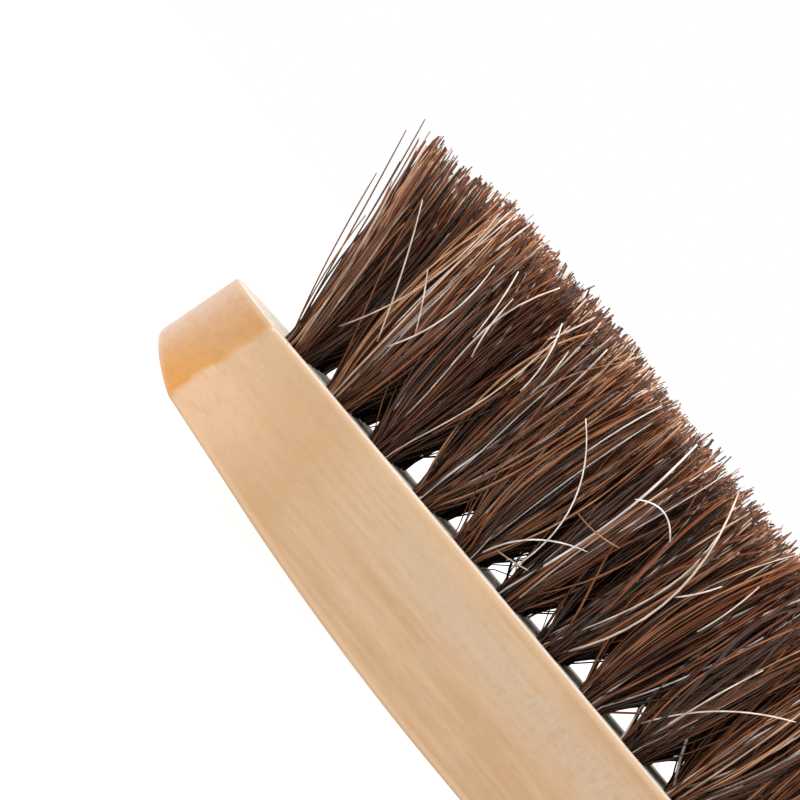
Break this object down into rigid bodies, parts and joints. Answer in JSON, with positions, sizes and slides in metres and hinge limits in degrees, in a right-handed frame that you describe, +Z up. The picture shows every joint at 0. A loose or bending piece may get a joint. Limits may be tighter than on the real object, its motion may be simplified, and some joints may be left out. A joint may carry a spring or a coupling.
{
  "type": "shoe brush",
  "caption": "Hand-held wooden block with an arched back and bowed ends, set with ranks of trimmed brown horsehair tufts that flare at the ends, for polishing shoes and brushing cloth.",
  "frame": {"origin": "middle of the flat face of the back that the brush rests on, under the middle of its length and width", "axes": "+X along the block, +Y across it, +Z up from the back towards the trimmed bristle tips"},
  "size_m": [0.1722, 0.05, 0.0505],
  "materials": {
    "wood": "satin clear lacquer",
    "horsehair": "natural dark brown hair with a low sheen"
  },
  "bodies": {
    "root": {"block": "wood", "tuft_rank_01": "horsehair", "tuft_rank_02": "horsehair", "tuft_rank_03": "horsehair", "tuft_rank_04": "horsehair", "tuft_rank_05": "horsehair", "tuft_rank_06": "horsehair", "tuft_rank_07": "horsehair", "tuft_rank_08": "horsehair", "tuft_rank_09": "horsehair", "tuft_rank_10": "horsehair", "tuft_rank_11": "horsehair", "tuft_rank_12": "horsehair", "tuft_rank_13": "horsehair", "tuft_rank_14": "horsehair", "tuft_rank_15": "horsehair", "tuft_rank_16": "horsehair", "tuft_rank_17": "horsehair", "tuft_rank_18": "horsehair", "tuft_rank_19": "horsehair"}
  },
  "joints": []
}
